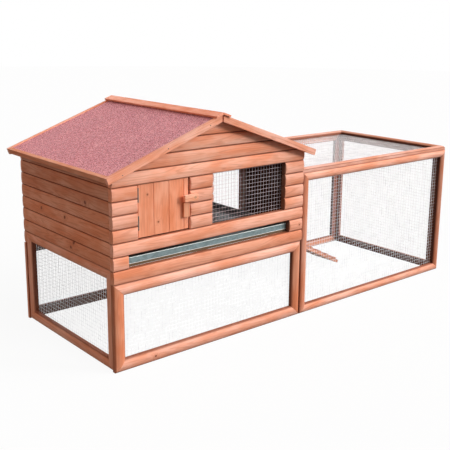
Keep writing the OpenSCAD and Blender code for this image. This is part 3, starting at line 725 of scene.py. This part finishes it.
def dress_fir(node, layout, contrast=None, knots=None, rough=1.0, tone=WHITE, stile=None,
              shaded=None, shaded_way=(-1.0, 0.0, 0.0), shaded_past=None, painted_shade_ramp=None):
    """Gives a CAD node a finish of its own in stained fir, whose boards lie as the layout says.
    Contrast and knots stand in for the settings of that name, and rough scales how far the
    fibres stand out. The tone scales the stain, and on a frame's uprights the stile tone does;
    the stile tone is painted shade on the uprights. Shaded names the setting for the share of
    painted shade that is taken off the sides that look the shaded way, where X is past a given
    place. The painted shade ramp is an axis, two places on it and the share of painted shade that
    the colour loses from the first place to the second, on a frame with a stile tone only on its
    uprights."""
    fir = bpy.context.scene.rabbit_run_fir
    finish, board, shader, place = new_finish(label(node) + " fir")
    where = layout(board, place, node)
    on_stile = where.pop("stile", 1.0)
    edge = board.group("Worn edge", radius=fir.edge)
    core, swirl = 0.0, 0.0
    for centre, radius in KNOTS.get(node, ()):
        mark = board.group("Branch knot", place=place, through=where["through"], centre=centre,
                           radius=radius)
        core = board.maximum(core, mark["Knot"])
        swirl = board.maximum(swirl, mark["Swirl"])
    stain, pale = (np.minimum(np.array(c) * tone, 0.95) for c in (fir.stain, fir.pale))
    if stile is not None:
        stain, pale = (board.layers(c, (on_stile, c / tone * stile)) for c in (stain, pale))
    grain = board.group(
        "Fir grain", place=place, stain=stain, pale=pale, dark=fir.dark, knot_colour=fir.knot,
        contrast=fir.contrast if contrast is None else contrast,
        knots=fir.knots if knots is None else knots, added_knot=core, added_swirl=swirl,
        rubbed=board.times(edge["Edge"], fir.wear), **where)
    wood = grain["Colour"]
    if shaded is not None:
        share_ = getattr(fir, shaded)
        if shaded_past is not None:
            past = board.ramp(board.split(place)["X"], shaded_past, shaded_past + 0.001)
            share_ = board.times(past, share_)
        wood = board.scaled(wood, board.group("Shaded side", toward=shaded_way,
                                              taken=share_)["Left"])
    if painted_shade_ramp is not None:
        axis, low, high, share_ = painted_shade_ramp
        reach = board.ramp(board.split(place)[axis], low, high)
        if stile is not None:
            reach = board.times(reach, on_stile)
        wood = board.scaled(wood, board.rest(board.times(reach, share_)))
    coat_shader(board, shader, wood, grain, bump=0.35 * rough, depth=0.0006, gloss=0.12,
                Normal=edge["Normal"])
    dress(node, finish)


def panel_finish(node, layout, panel, tone=1.0):
    """Untreated panel wood, without knots and without worn edges."""
    finish, board, shader, place = new_finish(label(node) + " wood")
    grain = board.group(
        "Fir grain", place=place, stain=panel.stain, pale=panel.pale, dark=panel.dark,
        knot_colour=panel.dark, contrast=0.5, knots=0.08, **layout(board, place, node))
    coat_shader(board, shader, board.scaled(grain["Colour"], tone), grain, bump=0.3,
                depth=0.0006, gloss=0.25)
    return finish


def felt_finish(felt):
    """Roof felt with its mineral grains."""
    finish, board, shader, place = new_finish("Mineral felt")
    grains = board.group("Mineral grains", place=place, bed=felt.bed, light=felt.light,
                         dark=felt.dark, grain=felt.grain)
    coat_shader(board, shader, grains["Colour"], grains, bump=0.6, depth=0.0007, gloss=0.15)
    return finish


def zinc_finish(name, colour_, crystal, dullness, metal, lip_highlights=None):
    """Zinc-coated sheet or wire. Lip highlights are the low and high edge of a pressed sheet,
    their height and the colours of the high and of the low one: painted highlights where the lips
    catch the light."""
    finish, board, shader, place = new_finish(name)
    coat = board.group("Zinc coat", place=place, zinc=colour_, crystal=crystal, dullness=dullness)
    sheet = coat["Colour"]
    if lip_highlights is not None:
        low, high, band, rim_highlight_colour, foot_highlight_colour = lip_highlights
        height = board.split(place)["Z"]
        tilt = board.absolute(board.split(board.facing())["Z"])
        rim = board.ramp(height, high - 1.3 * band, high - 0.7 * band)
        foot = board.times(board.ramp(tilt, 0.7, 0.3),
                           board.ramp(height, low + 1.3 * band, low + 0.7 * band))
        sheet = board.layers(sheet, (board.times(rim, 0.6), rim_highlight_colour),
                             (board.times(foot, 0.8), foot_highlight_colour))
    coat_shader(board, shader, sheet, coat, bump=0.2, depth=0.0003, gloss=0.5)
    shader["Metallic"].default_value = metal
    return finish


# ---- Operators ----

class RUN_OT_storey_frames(bpy.types.Operator):
    """Finish the mitred frames of the open storey and the rail over its open side"""
    bl_idname = "rabbit_run.storey_frames"
    bl_label = "Frames of the open storey"

    def execute(self, context):
        # On the front frame the uprights are toned as painted shade, and the right stile darkens
        # further towards the right as painted shade
        dress_fir("front_frame", frame_layout(X, Z, STOREY_MOULDING),
                  tone=(1.0, 1.05, 1.1), stile=(0.93, 0.8, 0.68), shaded="shaded_front",
                  painted_shade_ramp=("X", HOUSE_MID, HOUSE_MID + 0.1, 0.2))
        corner = corners("rear_frame")[0][0] + REAR_CORNER
        dress_fir("rear_frame", frame_layout(X, Z, STOREY_MOULDING), shaded="shaded",
                  shaded_way=(0.0, -1.0, 0.0), shaded_past=corner)
        dress_fir("left_frame", frame_layout(Y, Z, LEFT_MOULDING))
        dress_fir("right_head_rail", plain_layout(Y, X))
        return {"FINISHED"}


class RUN_OT_run_frames(bpy.types.Operator):
    """Finish the mitred frames of the run"""
    bl_idname = "rabbit_run.run_frames"
    bl_label = "Frames of the run"

    def execute(self, context):
        # The run's front frame has uprights toned as painted shade, darkening further towards its
        # right upright
        dress_fir("run_front_frame", frame_layout(X, Z, RUN_MOULDING),
                  tone=(1.05, 1.08, 1.12), stile=(0.85, 0.8, 0.78), shaded="shaded",
                  painted_shade_ramp=("X", 0.1, 0.3, 0.22))
        # The run's back frame has its uprights drawn much darker: painted shade for uprights that
        # stand in shade
        dress_fir("run_back_frame", frame_layout(X, Z, RUN_MOULDING), stile=(0.5, 0.4, 0.4),
                  shaded="shaded")
        dress_fir("run_end_frame", frame_layout(Y, Z, RUN_MOULDING), shaded="shaded")
        return {"FINISHED"}


def logs(wall):
    """The nodes that hold a wall's log boards."""
    return [node for node in FIRST_BOARD if node.startswith(wall) and "log" in node]


# Log boards drawn lighter or darker than the rest
LOG_TONES = {"front_gable_logs": (1.12, 1.1, 1.1), "front_log_bottom": (0.95, 0.86, 0.78)}


class RUN_OT_log_walls(bpy.types.Operator):
    """Finish the half-round log boards of the four walls and the gables"""
    bl_idname = "rabbit_run.log_walls"
    bl_label = "Log walls"

    def execute(self, context):
        corner = corners("front_log_bottom")[0][0] + LOG_CORNER
        for node in logs("front"):
            dress_fir(node, log_layout(X, Y), knots=0.12, tone=LOG_TONES.get(node, WHITE),
                      shaded=None if node == "front_logs_middle" else "shaded",
                      shaded_past=corner)
        # The left wall's deeper tone is partly painted shade of the side away from the main light,
        # and its darkening towards the eave is painted shade under the eave
        lo, hi = corners("left_wall_logs")
        dress_fir("left_wall_logs", log_layout(Y, X), contrast=0.5,
                  tone=(0.99, 0.91, 0.82), painted_shade_ramp=("Z", (2 * lo[2] + hi[2]) / 3, hi[2], 0.3))
        for node in logs("right"):
            dress_fir(node, log_layout(Y, X), shaded="shaded_room")
        for node in logs("rear"):
            dress_fir(node, log_layout(X, Y))
        return {"FINISHED"}


# The battens, the axis along which they are counted, and a start far enough away to keep their
# numbers apart from all others
BATTENS = (("front_battens", "X", 400.0), ("doorway_battens", "Y", 410.0),
           ("corner_battens", "X", 420.0))


class RUN_OT_inner_woodwork(bpy.types.Operator):
    """Finish the battens, the floor bearers and the floor panel"""
    bl_idname = "rabbit_run.inner_woodwork"
    bl_label = "Battens and floor"

    def execute(self, context):
        for node, axis, start in BATTENS:
            dress_fir(node, set_out_layout(Z, Y, axis, BATTEN_PITCH, start))
        dress_fir("floor_bearers", set_out_layout(Y, X, "X", BEARER_PITCH))
        panel = context.scene.rabbit_run_panel
        wood = panel_finish("floor_panel", plain_layout(X, Z), panel, panel.soaked)
        dress("floor_panel", wood)
        return {"FINISHED"}


class RUN_OT_roof_sheets(bpy.types.Operator):
    """Finish the two roof boards and the mineral felt on them"""
    bl_idname = "rabbit_run.roof_sheets"
    bl_label = "Roof boards and felt"

    def execute(self, context):
        felt = felt_finish(context.scene.rabbit_run_felt)
        wood = panel_finish("roof_boards", slope_layout(True), context.scene.rabbit_run_panel)
        for side in ("left", "right"):
            dress("felt_" + side, felt)
            dress("roof_board_" + side, wood)
        return {"FINISHED"}


class RUN_OT_roof_trims(bpy.types.Operator):
    """Finish the eave trims, the gable trims and the ridge cap"""
    bl_idname = "rabbit_run.roof_trims"
    bl_label = "Trims and ridge cap"

    def execute(self, context):
        # The eave trims' darker tone is partly painted shade of their face under the eave
        dress_fir("eave_trims", slope_layout(True), tone=(0.86, 0.74, 0.60))
        dress_fir("front_gable_trims", slope_layout(False), contrast=0.5, tone=(1.07, 1.1, 1.15))
        dress_fir("rear_gable_trims", slope_layout(False))
        dress_fir("ridge_cap", slope_layout(True), knots=0.0, tone=(1.05, 0.90, 0.86))
        return {"FINISHED"}


class RUN_OT_door(bpy.types.Operator):
    """Finish the door's boards, its ledges and its pull block"""
    bl_idname = "rabbit_run.door"
    bl_label = "Door"

    def execute(self, context):
        lo, hi = corners("door_boards")
        plank = (hi[0] - lo[0] - LATCH_BOARD) / 3
        dress_fir("door_boards", set_out_layout(Z, Y, "X", plank, lo[0]), knots=0.0,
                  contrast=0.3, tone=(1.0, 0.88, 0.77))
        dress_fir("door_ledges", set_out_layout(X, Y, "Z", LEDGE_PITCH))
        dress_fir("door_pull", plain_layout(Z, Y), knots=0.0, rough=2.0, tone=(0.87, 0.80, 0.68))
        return {"FINISHED"}


class RUN_OT_turn_button(bpy.types.Operator):
    """Finish the turn button and its screw"""
    bl_idname = "rabbit_run.turn_button"
    bl_label = "Turn button"

    def execute(self, context):
        dress_fir("turn_button", plain_layout(X, Y), knots=0.0, contrast=0.6,
                  rough=3.0, tone=(1.1, 1.2, 1.2))
        screw = context.scene.rabbit_run_zinc.screw
        dress("turn_screw", zinc_finish("Screw zinc", screw, crystal=0.002, dullness=0.6,
                                        metal=0.15))
        return {"FINISHED"}


class RUN_OT_tray(bpy.types.Operator):
    """Finish the galvanised tray"""
    bl_idname = "rabbit_run.tray"
    bl_label = "Tray"

    def execute(self, context):
        zinc = context.scene.rabbit_run_zinc
        lo, hi = corners("tray")
        dress("tray", zinc_finish("Tray zinc", zinc.tray, crystal=0.009, dullness=0.35, metal=0.6,
                                  lip_highlights=(lo[2], hi[2], 0.002, zinc.rim, zinc.foot)))
        return {"FINISHED"}


class RUN_OT_lid(bpy.types.Operator):
    """Finish the frame of the run's lid"""
    bl_idname = "rabbit_run.lid"
    bl_label = "Lid"

    def execute(self, context):
        dress_fir("lid_frame", frame_layout(X, Y, RUN_MOULDING),
                  tone=(0.90, 1.05, 1.2), stile=(0.82, 0.86, 0.88), shaded="shaded")
        return {"FINISHED"}


class RUN_OT_ramp(bpy.types.Operator):
    """Finish the ramp's board and its cleats"""
    bl_idname = "rabbit_run.ramp"
    bl_label = "Ramp"

    def execute(self, context):
        dress_fir("ramp_board", plain_layout(RAMP_ALONG, RAMP_SQUARE))
        dress_fir("ramp_cleats", set_out_layout(Y, RAMP_SQUARE, "X", CLEAT_PITCH), knots=0.0)
        return {"FINISHED"}


class RUN_OT_hinges(bpy.types.Operator):
    """Finish the hinges of the door, the lid and the ramp"""
    bl_idname = "rabbit_run.hinges"
    bl_label = "Hinges"

    def execute(self, context):
        finish = zinc_finish("Hinge zinc", context.scene.rabbit_run_zinc.hinge, crystal=0.003,
                             dullness=0.5, metal=0.4)
        for piece in ("door", "lid", "ramp"):
            for leaf in ("moving", "fixed"):
                dress(piece + "_hinges_" + leaf, finish)
        return {"FINISHED"}


# How dull and how metallic each kind of wire is, and the kind of each CAD net
WIRES = {"wire": (0.45, 0.55), "far_wire": (0.55, 0.4), "window_wire": (0.6, 0.3)}
NETS = {"window_mesh": "window_wire", "front_frame_mesh": "wire", "left_frame_mesh": "wire",
        "rear_frame_mesh": "wire", "run_front_mesh": "wire", "run_back_mesh": "far_wire",
        "run_end_mesh": "far_wire", "lid_mesh": "wire"}


class RUN_OT_nets(bpy.types.Operator):
    """Make the welded nets with every wire, in place of the frame's thinned nets"""
    bl_idname = "rabbit_run.nets"
    bl_label = "Wire nets"

    def execute(self, context):
        finishes = {}
        for wire, (dullness, metal) in WIRES.items():
            tint = getattr(context.scene.rabbit_run_zinc, wire)
            finishes[wire] = zinc_finish(label(wire) + " zinc", tint, crystal=0.02,
                                         dullness=dullness, metal=metal)
        for node, wire in NETS.items():
            surface = net_surface(node, context.scene.rabbit_run_nets)
            if not np.isfinite(surface[0]).all():
                raise ValueError(node + " has a wire with no place")
            body = "lid" if node == "lid_mesh" else "hutch"
            net = fixed_piece(node.replace("mesh", "net"), surface, body, finishes[wire])
            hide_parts(node)
        return {"FINISHED"}


# Nail heads that the photograph shows on the left front trim: level place and height
TRIM_NAILS = ((-0.7507, 0.5953), (-0.5961, 0.6547), (-0.4428, 0.7087))


class RUN_OT_nail_heads(bpy.types.Operator):
    """Make the nail heads on the left front gable trim"""
    bl_idname = "rabbit_run.nail_heads"
    bl_label = "Nail heads"

    def execute(self, context):
        nails = context.scene.rabbit_run_nails
        face = corners("front_gable_trims")[0][1]
        surface = nail_surface([(x, face, z) for x, z in TRIM_NAILS], nails)
        finish = zinc_finish("Nail iron", nails.nail, crystal=0.002, dullness=0.5, metal=0.4)
        fixed_piece("trim_nail_heads", surface, "hutch", finish)
        return {"FINISHED"}


# The floor is a disc a little below the feet of the frames
FLOOR_RADIUS = 14.0
FLOOR_SIDES = 64
FLOOR_DROP = 0.0004


def shows_studio(board):
    """1 on rays that show the studio in the picture, straight or in metal and glass."""
    path = board.node("ShaderNodeLightPath").outputs
    return board.add(path["Is Camera Ray"],
                     board.add(path["Is Glossy Ray"], path["Is Transmission Ray"]), clamp=True)


class RUN_OT_stage(bpy.types.Operator):
    """Lay the floor, hang the lamps and place the camera"""
    bl_idname = "rabbit_run.stage"
    bl_label = "Stage"

    def execute(self, context):
        studio = context.scene.rabbit_run_studio
        self.lay_floor(studio)
        self.hang_lamps(studio)
        self.light_room(studio)
        self.place_camera(studio)
        context.scene.view_settings.view_transform = "Standard"
        return {"FINISHED"}

    def lay_floor(self, studio):
        """Flat disc: the radius times the cosine and the sine of the turn, at one height."""
        turn = np.linspace(0, 2 * math.pi, FLOOR_SIDES, endpoint=False)
        points = np.stack([FLOOR_RADIUS * np.cos(turn), FLOOR_RADIUS * np.sin(turn),
                           np.full(FLOOR_SIDES, -FLOOR_DROP)], -1)
        finish = bpy.data.materials.new("Studio floor")
        board = clear_board(finish)
        full, half = (board.node("ShaderNodeBsdfDiffuse", {
            "Color": part * np.array(studio.floor)}).outputs[0] for part in (1.0, 0.5))
        white = board.node("ShaderNodeEmission", {
            "Color": WHITE, "Strength": studio.floor_glow}).outputs[0]
        seen = board.node("ShaderNodeAddShader", {0: half, 1: white}).outputs[0]
        choice = board.node("ShaderNodeMixShader", {0: shows_studio(board), 1: full, 2: seen})
        board.node("ShaderNodeOutputMaterial", {0: choice.outputs[0]})
        new_piece("Floor", points, [list(range(FLOOR_SIDES))], finish, False)

    def hang_lamps(self, studio):
        for lamp in LAMPS:
            name = lamp.capitalize() + " light"
            light = bpy.data.lights.new(name, "SUN")
            light.energy = getattr(studio, lamp)
            light.color = getattr(studio, lamp + "_colour")
            light.angle = getattr(studio, lamp + "_spread")
            source = Vector(getattr(studio, lamp + "_from"))
            hung = bpy.data.objects.new(name, light)
            hung.rotation_euler = source.to_track_quat("Z", "Y").to_euler()
            bpy.context.scene.collection.objects.link(hung)

    def light_room(self, studio):
        """A faint light from all round, which the picture shows as plain white."""
        world = bpy.data.worlds.new("Studio")
        board = clear_board(world)
        strength = board.node("ShaderNodeMix", {0: shows_studio(board), 2: studio.sky, 3: 1.0},
                              data_type="FLOAT").outputs[0]
        sky = board.node("ShaderNodeBackground", {"Color": WHITE, "Strength": strength})
        board.node("ShaderNodeOutputWorld", {0: sky.outputs[0]})
        bpy.context.scene.world = world

    def place_camera(self, studio):
        """The line of sight is (sin yaw cos pitch, cos yaw cos pitch, -sin pitch)."""
        lens = bpy.data.cameras.new("Photograph")
        lens.sensor_fit = "HORIZONTAL"
        lens.sensor_width = 36.0
        lens.lens = studio.focus * lens.sensor_width / PHOTO_SIDE
        lens.shift_x = (PHOTO_SIDE / 2 - studio.centre[0]) / PHOTO_SIDE
        lens.shift_y = (studio.centre[1] - PHOTO_SIDE / 2) / PHOTO_SIDE
        lens.clip_end = 60.0
        camera = bpy.data.objects.new("Photograph", lens)
        turns = ((-studio.yaw, "Z"), (math.pi / 2 - studio.pitch, "X"), (studio.roll, "Z"))
        placed = Matrix.Translation(studio.place)
        for turn, axis in turns:
            placed = placed @ Matrix.Rotation(turn, 4, axis)
        camera.matrix_world = placed
        bpy.context.scene.collection.objects.link(camera)
        bpy.context.scene.camera = camera


# ---- Panel and registration ----

PROPERTIES = {"rabbit_run_fir": FirFinish, "rabbit_run_panel": PanelFinish,
              "rabbit_run_felt": FeltFinish, "rabbit_run_zinc": ZincFinish,
              "rabbit_run_nails": NailHeads, "rabbit_run_nets": WireNets,
              "rabbit_run_studio": Studio}
OPERATORS = (RUN_OT_storey_frames, RUN_OT_run_frames, RUN_OT_log_walls, RUN_OT_inner_woodwork,
             RUN_OT_roof_sheets, RUN_OT_roof_trims, RUN_OT_door, RUN_OT_turn_button, RUN_OT_tray,
             RUN_OT_lid, RUN_OT_ramp, RUN_OT_hinges, RUN_OT_nets, RUN_OT_nail_heads,
             RUN_OT_stage)


class RUN_PT_pieces(bpy.types.Panel):
    """Pieces and finishes of the rabbit run"""
    bl_idname = "RUN_PT_pieces"
    bl_label = "Rabbit run"
    bl_space_type = "VIEW_3D"
    bl_region_type = "UI"
    bl_category = "Rabbit Run"

    def draw(self, context):
        for operator in OPERATORS:
            self.layout.operator(operator.bl_idname)
        for name, group in PROPERTIES.items():
            box = self.layout.box()
            box.label(text=group.__doc__)
            for key in group.__annotations__:
                box.prop(getattr(context.scene, name), key)


CLASSES = (*PROPERTIES.values(), *OPERATORS, RUN_PT_pieces)


def register():
    for cls in CLASSES:
        bpy.utils.register_class(cls)
    for name, group in PROPERTIES.items():
        setattr(bpy.types.Scene, name, PointerProperty(type=group))


def unregister():
    for name in PROPERTIES:
        delattr(bpy.types.Scene, name)
    for cls in reversed(CLASSES):
        bpy.utils.unregister_class(cls)


def main():
    register()
    build_groups()
    for operator in OPERATORS:
        piece = operator.bl_idname.partition(".")[2]
        getattr(bpy.ops.rabbit_run, piece)()


if __name__ == "__main__":
    main()
